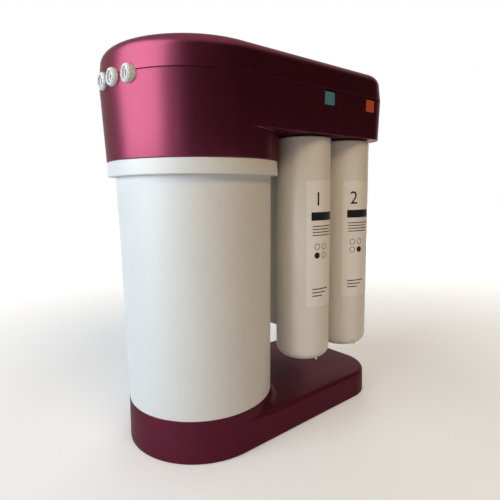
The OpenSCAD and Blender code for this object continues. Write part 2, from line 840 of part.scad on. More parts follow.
module socket(i) {
    color(dark_grey) translate([cart_at[i][0], cart_at[i][1], 0]) difference() {
        union() {
            translate([0, 0, under_z]) cylinder(r = socket_r, h = socket_top - under_z);
            translate([0, 0, floor_top]) cylinder(r = socket_flange_r, h = 3);
        }
        translate([0, 0, under_z - past])
            cylinder(r = neck_r + bore_gap, h = socket_top - under_z + 2 * past);
        translate([0, 0, shelf_top]) cylinder(r = lug_r + bore_gap, h = groove_top - shelf_top);
        for (k = [0:2]) translate([0, 0, under_z - past])
            sector(lug_r + bore_gap - slot_short, slot_angle, twist + 120 * k,
                shelf_top - under_z + 2 * past);
    }
}

cart_top = under_z - cart_gap;
neck_mouth_r = neck_r - 2;
spigot_h = 6;
cart_floor_t = 3;

module cart_shell(i) {
    color(cream) translate([cart_at[i][0], cart_at[i][1], 0]) rotate_extrude() difference() {
        intersection() {
            turned_block(cart_r, cart_z, cart_top, cart_round, 3);
            square([cart_r, total_h]);
        }
        intersection() {
            turned_block(cart_r - cart_wall, cart_z + cart_floor_t, cart_top - 3, cart_round - cart_wall, 1);
            square([cart_r, total_h]);
        }
        square([neck_mouth_r, total_h - past]);
    }
    color(cream) translate([cart_at[i][0], cart_at[i][1], cart_z])
        cylinder(r = cart_r - cart_round, h = cart_floor_t);
}

seal_steps = [5, 11];
nose_seal_minor = 1.1;
// Water ways up the nose, one in the middle and four round it, as shares of its radius
way_r = 0.276 * nose_r;
port_ring = 0.552 * nose_r;
port_r = 0.11 * nose_r;

module cart_neck(i) {
    color(white) translate([cart_at[i][0], cart_at[i][1], 0]) difference() {
        union() {
            translate([0, 0, cart_top - spigot_h])
                cylinder(r = neck_mouth_r - run_gap, h = spigot_h + past);
            translate([0, 0, cart_top]) cylinder(r = neck_r, h = socket_top - 2 - cart_top);
            for (k = [0:2]) translate([0, 0, shelf_top + seat_gap]) sector(lug_r, lug_angle, 120 * k, lug_h);
            translate([0, 0, socket_top - 3])
                cylinder(r = step_r, h = boss_z - 2 * seat_gap - socket_top + 3);
            translate([0, 0, socket_top]) cylinder(r = nose_r, h = nose_top - socket_top);
        }
        for (z = seal_steps) translate([0, 0, boss_z + z - 1.3]) difference() {
            cylinder(r = nose_r + past, h = 2.6);
            translate([0, 0, -past]) cylinder(r = nose_r - 2 * nose_seal_minor, h = 2.6 + 2 * past);
        }
        translate([0, 0, cart_top - spigot_h - past])
            cylinder(r = way_r, h = nose_top - cart_top + spigot_h + 2 * past);
        for (a = [0:90:270]) rotate([0, 0, a]) translate([port_ring, 0, cart_top - spigot_h - past])
            cylinder(r = port_r, h = nose_top - cart_top + spigot_h + 2 * past, $fn = 24);
    }
}

module cart_seals(i) {
    color(rubber_black) for (z = seal_steps) translate([cart_at[i][0], cart_at[i][1], boss_z + z])
        ring_seal(nose_r - nose_seal_minor, nose_seal_minor - 0.02);
}

media_gap = 1.5;
media_colours = ["#f2efe8", "#2b2b2d", "#e8e8ea", "#55585c"];

module cart_media(i) {
    low = cart_z + cart_floor_t;
    top = cart_top - spigot_h - 4;
    color(media_colours[i]) translate([cart_at[i][0], cart_at[i][1], 0]) rotate_extrude() difference() {
        turned_block(cart_r - cart_wall - media_gap, low, top, cart_round - cart_wall, 1);
        translate([-cart_r, low - past]) square([cart_r + media_bores[i], top - low + 2 * past]);
    }
}

flange_in = head_r - head_wall - seat_gap;
button_flange_t = 2;
flange_over = 1.8;
leg_w = 12;
yoke_arm = 20;
yoke_r = step_r + 9;
yoke_gap = 0.5;

module button(i) {
    s = side_of(i);
    top = split_z - button_over;
    face = head_r - button_recess - draft_at(top - button_h / 2);
    color(button_colours[i]) translate([cart_at[i][0], 0, 0]) mirror([0, s > 0 ? 0 : 1, 0]) {
        // Cap in the window, with its flange behind the wall
        translate([-button_w / 2, flange_in - past, top - button_h])
            cube([button_w, face - flange_in + past, button_h]);
        translate([-button_w / 2 - flange_over, flange_in - button_flange_t, top - button_h - flange_over])
            cube([button_w + 2 * flange_over, button_flange_t, button_h + flange_over + past]);
        // Leg down to the latch yoke round the neck
        translate([-leg_w / 2, flange_in - button_flange_t, yoke_z])
            cube([leg_w, button_flange_t, top - button_h - yoke_z]);
        translate([0, 0, yoke_z]) linear_extrude(yoke_t) difference() {
            union() {
                translate([0, cart_y]) circle(r = yoke_r);
                translate([-yoke_arm / 2, cart_y]) square([yoke_arm, flange_in - cart_y]);
            }
            translate([0, cart_y]) circle(r = step_r + yoke_gap);
            translate([0, cart_y + button_travel]) circle(r = step_r + yoke_gap);
            translate([-step_r - yoke_gap, cart_y]) square([2 * (step_r + yoke_gap), button_travel]);
        }
    }
}

spring_r = 3;
wire_r = 0.35;
spring_turns = 5;
spring_steps = 10;
spring_sides = 6;
spring_seat = 0.1;

// Helical spring along +Y from the origin, as one swept wire
function coil_point(len, t) =
    let (turn = 360 * spring_turns * t)
    [spring_r * cos(turn), wire_r + (len - 2 * wire_r) * t, spring_r * sin(turn)];

function coil_ring(len, t) =
    let (
        d = unit(coil_point(len, t + 0.001) - coil_point(len, t - 0.001)),
        c = coil_point(len, t),
        side = unit([c[0], 0, c[2]]),
        up = cross(d, side)
    )
    [for (k = [0:spring_sides - 1])
        c + wire_r * (cos(360 * k / spring_sides) * side + sin(360 * k / spring_sides) * up)];

module coil_spring(len) {
    n = spring_sides;
    m = spring_turns * spring_steps;
    polyhedron([for (j = [0:m]) each coil_ring(len, j / m)], concat(
        [for (j = [0:m - 1]) for (k = [0:n - 1]) let (e = (k + 1) % n)
            each [[j * n + k, j * n + n + k, j * n + e], [j * n + e, j * n + n + k, j * n + n + e]]],
        [for (k = [1:n - 2]) [0, k, k + 1]],
        [for (k = [1:n - 2]) [m * n, m * n + k + 1, m * n + k]]
    ));
}

module button_spring(i) {
    s = side_of(i);
    len = flange_in - button_flange_t - pad_y - 2 * spring_seat;
    color(steel) translate([cart_at[i][0], s * (pad_y + spring_seat), spring_z])
        mirror([0, s > 0 ? 0 : 1, 0]) coil_spring(len);
}

base();
base_plate();
feet();
base_screws();
tank_shell();
tank_collar();
tank_cap();
tank_seal();
tank_bladder();
tank_riser();
header_body();
header_lid();
header_screws();
manifold();
manifold_screws();
shutoff_valve();
check_valve();
flow_restrictor();
feed_tube();
drain_tube();
product_tube();
tank_tube();
fitting_seals();
for (i = [0:2]) {
    fitting(i);
    fitting_nut(i);
    collet(i);
}
for (i = [0:3]) {
    socket(i);
    button(i);
    button_spring(i);
    cart_shell(i);
    cart_neck(i);
    cart_seals(i);
    cart_media(i);
}
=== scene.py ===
# Compact reverse osmosis system: a white tank and four twist-in cartridges under one burgundy header.
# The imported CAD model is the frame. Each section dresses or replaces the solids that it names.
# Sizes are in millimetres, and each mesh is scaled to metres as it is made. Lights are in metres.
import math

import bmesh
import bpy
from mathutils import Matrix, Vector


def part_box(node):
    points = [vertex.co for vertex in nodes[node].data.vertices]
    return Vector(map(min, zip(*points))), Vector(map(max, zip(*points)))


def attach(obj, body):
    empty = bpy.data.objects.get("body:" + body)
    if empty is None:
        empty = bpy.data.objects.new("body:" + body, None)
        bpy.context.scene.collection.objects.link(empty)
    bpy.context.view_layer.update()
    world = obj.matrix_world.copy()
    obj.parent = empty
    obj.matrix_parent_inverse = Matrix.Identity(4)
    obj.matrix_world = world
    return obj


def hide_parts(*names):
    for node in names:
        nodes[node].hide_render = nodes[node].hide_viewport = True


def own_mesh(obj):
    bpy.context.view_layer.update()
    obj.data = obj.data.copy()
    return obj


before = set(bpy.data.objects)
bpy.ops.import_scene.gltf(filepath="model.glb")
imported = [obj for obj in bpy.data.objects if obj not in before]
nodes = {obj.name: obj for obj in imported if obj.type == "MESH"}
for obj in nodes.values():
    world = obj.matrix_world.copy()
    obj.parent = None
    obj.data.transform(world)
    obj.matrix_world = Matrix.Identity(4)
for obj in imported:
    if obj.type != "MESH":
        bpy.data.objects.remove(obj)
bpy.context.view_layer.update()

# Base
# One burgundy moulding in the header's burgundy, darkened as painted shade and with less sheen. A low deck
# runs under the cartridges, and a cup rises from it through a soft fillet to hold the tank's foot.
MM = 0.001
WELD = 1e-4
CREASE = math.radians(38)
ROUND_STEPS = 8
end_steps = 96
side_steps = 48
corner_steps = 20
front_steps = 16
base_foot_z = 1.0
base_flare = 0.5
base_edge = 0.8
base_wall = 3.0
base_recess_z = 3.5
base_corner_r = 48.0
base_side_rows = (0.25, 0.5, 0.75)
deck_z = 33.0
deck_round = 5.0
deck_rows = (0.3, 0.7)
cup_z = 46.5
cup_step = 0.4
cup_fillet = 9.0
cup_lip = 0.5
cup_chamfer = 0.3
cup_bore = 78.4
cup_floor_z = 10.0

base_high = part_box("base")[1] / MM
tank_low, tank_high = (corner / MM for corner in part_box("tank_shell"))
tank_x = (tank_low.x + tank_high.x) / 2
base_r = base_high.y - base_flare
base_end_x = base_high.x - base_flare


def plan_stations(half, end_x, corner):
    """Stations round a long plan: a spot, the way out from it, and how far out the outline lies."""
    rows = []
    corner_x = end_x - corner
    run = corner_x - tank_x
    flat = half - corner
    for k in range(end_steps):
        turn = math.radians(90 + 180 * k / end_steps)
        rows.append((tank_x, 0.0, math.cos(turn), math.sin(turn), half))
    for k in range(side_steps):
        rows.append((tank_x + run * k / side_steps, 0.0, 0.0, -1.0, half))
    for k in range(corner_steps):
        turn = math.radians(-90 + 90 * k / corner_steps)
        rows.append((corner_x, -flat, math.cos(turn), math.sin(turn), corner))
    for k in range(front_steps):
        rows.append((corner_x, flat * (2 * k / front_steps - 1), 1.0, 0.0, corner))
    for k in range(corner_steps):
        turn = math.radians(90 * k / corner_steps)
        rows.append((corner_x, flat, math.cos(turn), math.sin(turn), corner))
    for k in range(side_steps):
        rows.append((corner_x - run * k / side_steps, 0.0, 0.0, 1.0, half))
    return rows


def set_in(station, inset, z):
    """Point of a plan at a station, set in from its outline."""
    x, y, dx, dy, reach = station
    return Vector((x + dx * (reach - inset), y + dy * (reach - inset), z))


def toward_tank(spot, radius, z):
    """Point at a radius round the tank's axis, in the direction of a spot."""
    way = Vector((spot.x - tank_x, spot.y, 0.0)).normalized()
    return Vector((tank_x + way.x * radius, way.y * radius, z))


def quarter_round(radius):
    """Steps of a rounded corner: how far each lies from the first side, and from the second."""
    turns = [math.pi / 2 * k / ROUND_STEPS for k in range(ROUND_STEPS + 1)]
    return [(radius * (1 - math.cos(a)), radius * (1 - math.sin(a))) for a in turns]


def smooth_piece(name, bm):
    """Object from a mesh in millimetres, smooth except at creases."""
    bmesh.ops.remove_doubles(bm, verts=bm.verts, dist=WELD)
    bmesh.ops.dissolve_degenerate(bm, edges=bm.edges, dist=WELD)
    bmesh.ops.recalc_face_normals(bm, faces=bm.faces)
    bmesh.ops.scale(bm, vec=(MM, MM, MM), verts=bm.verts)
    mesh = bpy.data.meshes.new(name)
    bm.to_mesh(mesh)
    bm.free()
    mesh.shade_smooth()
    mesh.set_sharp_from_angle(angle=CREASE)
    piece = bpy.data.objects.new(name, mesh)
    bpy.context.scene.collection.objects.link(piece)
    return piece


def skin(name, profiles, closed):
    """Piece over profiles that stand side by side all round, each open between poles or closed."""
    bm = bmesh.new()
    columns = [[bm.verts.new(point) for point in profile] for profile in profiles]
    count = len(columns[0])
    steps = count if closed else count - 1
    for here, there in zip(columns, columns[1:] + columns[:1]):
        for k in range(steps):
            up = (k + 1) % count
            bm.faces.new((here[k], there[k], there[up], here[up]))
    return smooth_piece(name, bm)


def moulded(name, colour, rough, grain, relief, drift=0.05, metal=0.0, shine=0.5):
    """Moulded or painted surface: a faint drift of colour, and a fine grain in gloss and relief."""
    cloud_scale = 16.0
    noise_low = 0.3
    noise_high = 0.7
    gloss_drift = 0.1
    grain_depth = 0.0003
    material = bpy.data.materials.new(name)
    material.use_nodes = True
    tree = material.node_tree
    shader = tree.nodes["Principled BSDF"]
    shader.inputs["Metallic"].default_value = metal
    shader.inputs["Specular IOR Level"].default_value = shine
    place = tree.nodes.new("ShaderNodeTexCoord")
    cloud = tree.nodes.new("ShaderNodeTexNoise")
    cloud.inputs["Scale"].default_value = cloud_scale
    cloud.inputs["Detail"].default_value = 3.0
    tint = tree.nodes.new("ShaderNodeValToRGB")
    darker, lighter = tint.color_ramp.elements
    darker.position = noise_low
    darker.color = [c * (1 - drift) for c in colour] + [1.0]
    lighter.position = noise_high
    lighter.color = [min(1.0, c * (1 + drift)) for c in colour] + [1.0]
    speck = tree.nodes.new("ShaderNodeTexNoise")
    speck.inputs["Scale"].default_value = grain
    speck.inputs["Detail"].default_value = 2.0
    gloss = tree.nodes.new("ShaderNodeMapRange")
    gloss.inputs["From Min"].default_value = noise_low
    gloss.inputs["From Max"].default_value = noise_high
    gloss.inputs["To Min"].default_value = rough * (1 - gloss_drift)
    gloss.inputs["To Max"].default_value = rough * (1 + gloss_drift)
    bump = tree.nodes.new("ShaderNodeBump")
    bump.inputs["Strength"].default_value = relief
    bump.inputs["Distance"].default_value = grain_depth
    tree.links.new(place.outputs["Object"], cloud.inputs["Vector"])
    tree.links.new(place.outputs["Object"], speck.inputs["Vector"])
    tree.links.new(cloud.outputs["Fac"], tint.inputs["Fac"])
    tree.links.new(tint.outputs["Color"], shader.inputs["Base Color"])
    tree.links.new(speck.outputs["Fac"], gloss.inputs["Value"])
    tree.links.new(gloss.outputs["Result"], shader.inputs["Roughness"])
    tree.links.new(speck.outputs["Fac"], bump.inputs["Height"])
    tree.links.new(bump.outputs["Normal"], shader.inputs["Normal"])
    return material


def base_inset_at(z):
    """How far the base's leaning side is set in at a height."""
    return (base_flare + cup_step) * (z - base_foot_z) / (cup_z - base_foot_z) - base_flare


def base_profile(station):
    """Section of the base at a station: from under the cup, round the outside, over deck and rim."""
    deck_edge = set_in(station, base_inset_at(deck_z), deck_z)
    cup_r = base_r - base_inset_at(deck_z)
    room = max(0.0, math.hypot(deck_edge.x - tank_x, deck_edge.y) - cup_r)
    edge = min(deck_round, room / 2)
    hollow = min(cup_fillet, room - edge)
    points = [Vector((tank_x, 0.0, base_recess_z))]
    points.append(set_in(station, base_wall, base_recess_z))
    points.append(set_in(station, base_wall, base_foot_z))
    side = base_inset_at(base_foot_z)
    for rise, inset in quarter_round(base_edge):
        points.append(set_in(station, side + inset, base_foot_z + rise))
    for share in base_side_rows:
        z = base_foot_z + share * (deck_z - edge - base_foot_z)
        points.append(set_in(station, base_inset_at(z), z))
    side = base_inset_at(deck_z)
    for inset, drop in quarter_round(edge):
        points.append(set_in(station, side + inset, deck_z - drop))
    last = points[-1]
    reach = math.hypot(last.x - tank_x, last.y)
    for share in deck_rows:
        points.append(toward_tank(last, reach + share * (cup_r + hollow - reach), deck_z))
    for rise, out in quarter_round(hollow):
        points.append(toward_tank(last, cup_r + out, deck_z + rise))
    rim_r = base_r - base_inset_at(cup_z)
    for inset, drop in quarter_round(cup_lip):
        points.append(toward_tank(last, rim_r - inset, cup_z - drop))
    points.append(toward_tank(last, cup_bore + cup_chamfer, cup_z))
    points.append(toward_tank(last, cup_bore, cup_z - cup_chamfer))
    points.append(toward_tank(last, cup_bore, cup_floor_z))
    points.append(Vector((tank_x, 0.0, cup_floor_z)))
    return points


# The base's colour is the header's burgundy made darker as painted shade; lower metal and shine give it
# less sheen.
base_shade_paint = moulded("burgundy_shaded_base", (0.1, 0.016, 0.034), rough=0.4, grain=1500.0, relief=0.05,
                     drift=0.04, metal=0.4, shine=0.1)
base_shade_film = base_shade_paint.node_tree.nodes["Principled BSDF"]
base_shade_film.inputs["Specular Tint"].default_value = (0.35, 0.16, 0.2, 1.0)
base_stations = plan_stations(base_r, base_end_x, base_corner_r)
base = skin("base_moulding", [base_profile(s) for s in base_stations], False)
base.data.materials.append(base_shade_paint)
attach(base, "unit")
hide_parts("base")

# Underside
# A dark moulded plate closes the base from below, held by four screws,
# and the unit stands on four rubber pads in its recesses.
dark_plastic = moulded("dark_matt_plastic", (0.035, 0.035, 0.038), rough=0.55, grain=900.0, relief=0.12)
black_rubber = moulded("black_rubber", (0.016, 0.016, 0.017), rough=0.75, grain=1100.0, relief=0.2,
                       drift=0.12)
bright_steel = moulded("bright_steel", (0.55, 0.56, 0.58), rough=0.28, grain=1800.0, relief=0.03,
                       metal=1.0)


def dress(material, *names):
    """Give CAD nodes a finish in place of their plain one."""
    for name in names:
        nodes[name].data.materials.clear()
        nodes[name].data.materials.append(material)


dress(dark_plastic, "base_plate")
dress(black_rubber, "feet")
dress(bright_steel, "base_screws")

# Tank
# White storage tank, blow-moulded and a little narrower at the foot, with a water bag and dip tube
# inside. Its mouth is closed by a cap, and a white flared collar runs round under the skirt.
white_plastic = moulded("white_satin_plastic", (0.76, 0.77, 0.76), rough=0.5, grain=420.0, relief=0.035,
                        drift=0.012, shine=0.35)
bag_rubber = moulded("grey_bag_rubber", (0.25, 0.27, 0.3), rough=0.6, grain=500.0, relief=0.15)
collar_low = 290.5
collar_top = 305.5
collar_r = 91.0
collar_flare = 0.8
collar_bore = 84.45
collar_bore_ease = 0.6
collar_foot_ease = 1.0
collar_top_ease = 0.5
collar_sides = 192


def eased(corners):
    """Outline through (radius, height, rounding) corners, going round once."""
    points = []
    count = len(corners)
    for k, (r, z, ease) in enumerate(corners):
        here = Vector((r, z))
        if not ease:
            points.append((r, z))
            continue
        back = (Vector(corners[k - 1][:2]) - here).normalized()
        on = (Vector(corners[(k + 1) % count][:2]) - here).normalized()
        half = back.angle(on) / 2
        centre = here + (back + on).normalized() * ease / math.sin(half)
        first = here + back * ease / math.tan(half) - centre
        last = here + on * ease / math.tan(half) - centre
        sweep = first.angle(last)
        for step in range(ROUND_STEPS + 1):
            share = step / ROUND_STEPS
            spoke = first * math.sin((1 - share) * sweep) + last * math.sin(share * sweep)
            points.append(tuple(centre + spoke / math.sin(sweep)))
    return points


def turned(name, x, y, outline, sides, closed):
    """Piece turned about a vertical axis."""
    profiles = []
    for k in range(sides):
        turn = 2 * math.pi * k / sides
        profiles.append([Vector((x + r * math.cos(turn), y + r * math.sin(turn), z)) for r, z in outline])
    return skin(name, profiles, closed)


collar_outline = eased([
    (collar_bore, collar_low, collar_bore_ease),
    (collar_r + collar_flare, collar_low, collar_foot_ease),
    (collar_r, collar_top, collar_top_ease),
    (collar_bore, collar_top, 0.0),
])
collar = turned("tank_collar_ring", tank_x, 0.0, collar_outline, collar_sides, True)
collar.data.materials.append(white_plastic)
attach(collar, "unit")
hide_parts("tank_collar")
dress(white_plastic, "tank_shell", "tank_cap", "tank_riser")
dress(black_rubber, "tank_seal")
dress(bag_rubber, "tank_bladder")

# Header body
# Burgundy tray in a satin metallic paint. A deep round skirt stands on the tank's collar, and the
# rest is a shallow box whose floor takes the sockets. Windows and port holes are cut in its side.
burgundy = moulded("burgundy_satin", (0.135, 0.022, 0.048), rough=0.31, grain=1500.0, relief=0.05,
                   drift=0.04, metal=0.8, shine=0.4)
paint_film = burgundy.node_tree.nodes["Principled BSDF"]
paint_film.inputs["Specular Tint"].default_value = (0.38, 0.18, 0.22, 1.0)
paint_film.inputs["Coat Weight"].default_value = 0.15
paint_film.inputs["Coat Roughness"].default_value = 0.3
corner_r = 40.0
split_z = 382.0
under_z = 335.0
skirt_z = 305.5
head_draft = 3.0
head_wall = 6.0
head_side_rows = (0.0, 0.33, 0.67)
floor_top = 338.0
parting = 0.15
groove_in = 1.4
groove_h = 0.8
under_edge = 0.4
skirt_fillet = 1.2
skirt_edge = 0.7
well_r = 88.5
socket_hole_r = 29.6
socket_hole_sides = 96
button_w = 17.4
button_h = 14.2
button_over = 2.0
window_gap = 0.5
port_hole_r = 8.55
port_hole_len = 30.0
port_y = (-34.0, -13.5, 7.0)
port_z = 379.5
nut_out = 3.5
post_hole_r = 3.3
post_sides = 32
post_from_front = 14.0
post_from_tank = 67.0
post_aside = 76.0
cut_past = 2.0
lid_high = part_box("header_lid")[1] / MM
half_w = lid_high.y
front_x = lid_high.x
stations = plan_stations(half_w, front_x, corner_r)
cart_spots = []
for number in (1, 2, 3, 4):
    shell_low, shell_high = (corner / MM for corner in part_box(f"cart_shell_{number}"))
    cart_spots.append((shell_low + shell_high) / 2)
port_face = [tank_x - math.sqrt(half_w * half_w - y * y) - nut_out for y in port_y]
post_spots = [(front_x - post_from_front, 0.0)]
post_spots += [(tank_x + post_from_tank, y) for y in (-post_aside, post_aside)]


def head_inset_at(z):
    """How far the header's drafted side is set in at a height."""
    return head_draft * (split_z - z) / (split_z - skirt_z)


def body_profile(station):
    """Closed section of the tray at a station: lip, side, underside, skirt, and back up inside."""
    corner = set_in(station, head_inset_at(under_z), under_z)
    skirt_r = half_w - head_inset_at(under_z)
    room = max(0.0, math.hypot(corner.x - tank_x, corner.y) - skirt_r)
    edge = min(under_edge, room / 2)
    hollow = min(skirt_fillet, room - edge)
    lip_z = split_z - groove_h
    points = [set_in(station, head_wall, split_z), set_in(station, groove_in, split_z)]
    points.append(set_in(station, groove_in, lip_z))
    points.append(set_in(station, head_inset_at(lip_z) + parting, lip_z))
    for share in head_side_rows:
        z = lip_z - parting - share * (lip_z - parting - under_z - edge)
        points.append(set_in(station, head_inset_at(z), z))
    side = head_inset_at(under_z)
    for inset, rise in quarter_round(edge):
        points.append(set_in(station, side + inset, under_z + rise))
    last = points[-1]
    for drop, out in quarter_round(hollow):
        points.append(toward_tank(last, skirt_r + out, under_z - drop))
    foot_r = half_w - head_draft
    for inset, rise in quarter_round(skirt_edge):
        points.append(toward_tank(last, foot_r - inset, skirt_z + rise))
    points.append(toward_tank(last, well_r, skirt_z))
    points.append(toward_tank(last, well_r, floor_top))
    points.append(set_in(station, head_wall, floor_top))
    return points


def add_rod(bm, start, end, radius, sides=64):
    """Cylinder between two points, for cuts and posts."""
    way = end - start
    turn = way.to_track_quat("Z", "Y").to_matrix().to_4x4()
    place = Matrix.Translation((start + end) / 2) @ turn @ Matrix.Rotation(math.pi / sides, 4, "Z")
    bmesh.ops.create_cone(bm, cap_ends=True, segments=sides, radius1=radius, radius2=radius,
                          depth=way.length, matrix=place)


def add_block(bm, low, high):
    """Box between two corners, for cuts."""
    size = Matrix.Diagonal((high - low).to_4d())
    bmesh.ops.create_cube(bm, size=1.0, matrix=Matrix.Translation((low + high) / 2) @ size)


def cut_away(piece, bm):
    """Cut closed forms out of a piece, and keep its creases."""
    tool = smooth_piece(piece.name + "_cut", bm)
    cut = piece.modifiers.new("cut", "BOOLEAN")
    cut.object = tool
    cut.operation = "DIFFERENCE"
    cut.solver = "EXACT"
    bpy.context.view_layer.update()
    result = piece.evaluated_get(bpy.context.evaluated_depsgraph_get())
    done = bpy.data.meshes.new_from_object(result)
    piece.modifiers.remove(cut)
    piece.data = done
    bpy.data.objects.remove(tool)
    piece.data.shade_smooth()
    piece.data.set_sharp_from_angle(angle=CREASE)


def port_cuts():
    """The three ports' holes through the round end."""
    bm = bmesh.new()
    for x, y in zip(port_face, port_y):
        add_rod(bm, Vector((x, y, port_z)), Vector((x + port_hole_len, y, port_z)), port_hole_r)
    return bm


tray = skin("header_tray", [body_profile(s) for s in stations], True)
cuts = port_cuts()
window_low = split_z - button_over - button_h - window_gap
window_half = button_w / 2 + window_gap
for spot in cart_spots:
    hole_low = Vector((spot.x, spot.y, under_z - 2 * cut_past))
    hole_high = Vector((spot.x, spot.y, floor_top + 2 * cut_past))
    add_rod(cuts, hole_low, hole_high, socket_hole_r, socket_hole_sides)
    side = math.copysign(1.0, spot.y)
    low_y, high_y = sorted((side * (half_w - head_wall - cut_past), side * (half_w + cut_past)))
    add_block(cuts, Vector((spot.x - window_half, low_y, window_low)),
              Vector((spot.x + window_half, high_y, split_z + cut_past)))
for x, y in post_spots:
    hole_low = Vector((x, y, under_z - cut_past))
    hole_high = Vector((x, y, floor_top + cut_past))
    add_rod(cuts, hole_low, hole_high, post_hole_r, post_sides)
cut_away(tray, cuts)
tray.data.materials.append(burgundy)
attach(tray, "unit")
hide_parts("header_body")

# Header lid
# Burgundy cover with a broad soft top edge. It meets the tray at a fine parting groove,
# and three posts inside take the screws that come up through the tray's floor.
top_z = lid_high.z
lid_draft = 2.0
lid_round = 14.0
lid_round_steps = 16
lid_room_in = 11.8
lid_t = 4.0
post_r = 6.0
post_foot = 350.0
post_gap = 0.1


def lid_profile(station):
    """Section of the lid at a station: from the middle of the top, down outside, up inside."""
    round_z = top_z - lid_round
    lean = math.atan(lid_draft / (round_z - split_z))
    points = [Vector((0.0, 0.0, top_z))]
    for k in range(lid_round_steps + 1):
        a = math.pi / 2 + (lean - math.pi / 2) * k / lid_round_steps
        inset = lid_draft + lid_round * (1 - math.cos(a))
        points.append(set_in(station, inset, round_z + lid_round * math.sin(a)))
    points.append(set_in(station, 0.0, split_z + parting))
    points.append(set_in(station, parting, split_z))
    points.append(set_in(station, head_wall, split_z))
    points.append(set_in(station, head_wall, round_z))
    points.append(set_in(station, lid_room_in, round_z))
    points.append(set_in(station, lid_room_in, top_z - lid_t))
    points.append(Vector((0.0, 0.0, top_z - lid_t)))
    return points


lid = skin("header_cover", [lid_profile(s) for s in stations], False)
cut_away(lid, port_cuts())
posts = bmesh.new()
for x, y in post_spots:
    post_top = Vector((x, y, top_z - lid_t - post_gap))
    add_rod(posts, Vector((x, y, post_foot)), post_top, post_r, post_sides)
lid_posts = smooth_piece("header_cover_posts", posts)
for piece in (lid, lid_posts):
    piece.data.materials.append(burgundy)
    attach(piece, "unit")
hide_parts("header_lid")
dress(bright_steel, "header_screws")

# Water block
# Grey moulded manifold screwed to the tray, with the white shut-off valve on top, the blue check
# valve and ochre drain limiter on its nipples, and thin tubes to the ports and the tank.
block_grey = moulded("grey_block_plastic", (0.55, 0.57, 0.58), rough=0.42, grain=700.0, relief=0.06)
valve_blue = moulded("blue_valve_plastic", (0.07, 0.22, 0.44), rough=0.35, grain=800.0, relief=0.05)
limiter_ochre = moulded("ochre_limiter_plastic", (0.55, 0.42, 0.12), rough=0.38, grain=800.0, relief=0.05)
tube_blue = moulded("blue_feed_tube", (0.09, 0.22, 0.52), rough=0.3, grain=600.0, relief=0.04)
tube_milky = moulded("milky_tube", (0.66, 0.7, 0.7), rough=0.3, grain=600.0, relief=0.04)
dress(block_grey, "manifold")
dress(bright_steel, "manifold_screws")
dress(white_plastic, "shutoff_valve")
dress(valve_blue, "check_valve")
dress(limiter_ochre, "flow_restrictor")
dress(tube_blue, "feed_tube")
dress(tube_milky, "drain_tube", "product_tube", "tank_tube")

# Ports
# White push-in fittings for thin water tube. A ribbed nut stands out of the round end, and the
# release collet lies back in its mouth, in front of a ring seal.
fitting_white = moulded("white_fitting_plastic", (0.78, 0.79, 0.77), rough=0.38, grain=900.0, relief=0.05,
                        drift=0.02)
nut_r = 8.35
nut_mouth_r = 5.5
nut_face_r = 7.2
nut_slope = 2.0
nut_bore_r = 7.06
nut_front = 6.0
nut_len = 15.0
nut_ease = 0.8
nut_back_ease = 0.3
nut_ribs = 22
rib_depth = 0.45
rib_steps = 10
rib_sharpness = 3
mouth_ease = 0.5
collet_in = 2.2
collet_r = 4.5
collet_head_r = 5.2
collet_head_t = 2.0
collet_head_ease = 0.2
collet_len = 10.6
collet_bore = 3.25
collet_sides = 64


def along_x(name, x, y, z, outline, sides, ribs=0):
    """Piece turned about an axis along X, from (radius, depth) points; ribs run along its outside."""
    profiles = []
    for k in range(sides):
        turn = 2 * math.pi * k / sides
        dip = rib_depth * (0.5 + 0.5 * math.cos(ribs * turn)) ** rib_sharpness if ribs else 0.0
        profile = []
        for r, depth in outline:
            reach = r - dip if r > nut_face_r + rib_depth else r
            profile.append(Vector((x + depth, y + reach * math.cos(turn), z + reach * math.sin(turn))))
        profiles.append(profile)
    return skin(name, profiles, True)


nut_outline = eased([
    (nut_mouth_r, 0.0, mouth_ease),
    (nut_face_r, 0.0, nut_ease),
    (nut_r, nut_slope, nut_ease),
    (nut_r, nut_len, nut_back_ease),
    (nut_bore_r, nut_len, 0.0),
    (nut_bore_r, nut_front, 0.0),
    (nut_mouth_r, nut_front, 0.0),
])
collet_outline = eased([
    (collet_bore, 0.0, mouth_ease),
    (collet_head_r, 0.0, mouth_ease),
    (collet_head_r, collet_head_t, collet_head_ease),
    (collet_r, collet_head_t, 0.0),
    (collet_r, collet_len, 0.0),
    (collet_bore, collet_len, 0.0),
])
for number, (x, y) in enumerate(zip(port_face, port_y), start=1):
    nut = along_x(f"port_nut_{number}", x, y, port_z, nut_outline, nut_ribs * rib_steps, nut_ribs)
    nut.data.materials.append(fitting_white)
    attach(nut, "unit")
    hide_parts(f"fitting_nut_{number}")
    collet = along_x(f"port_collet_{number}", x + collet_in, y, port_z, collet_outline, collet_sides)
    collet.data.materials.append(fitting_white)
    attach(collet, f"collet_{number}")
    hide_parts(f"collet_{number}")
    dress(fitting_white, f"fitting_{number}")
dress(black_rubber, "fitting_seals")

# Release buttons
# Small satin caps in the tray's windows, teal over the pair next to the tank, orange over the other.
# Each is one moulding with its leg and the latch yoke round the neck, pushed out by a spring.
teal = moulded("teal_button_plastic", (0.078, 0.27, 0.34), rough=0.42, grain=900.0, relief=0.06, shine=0.3)
orange = moulded("orange_button_plastic", (0.54, 0.1, 0.036), rough=0.42, grain=900.0, relief=0.06,
                 shine=0.3)
teal_buttons = (1, 3)
cap_ease = 1.0
cap_ease_steps = 4
cap_merge = 1e-3
cap_slack = 0.05
flat_turn = math.radians(1)
sharp_turn = 0.5
spring_r = 3.0
wire_r = 0.35
spring_turns = 6
seat_turns = 0.75
wire_sides = 10
turn_steps = 28


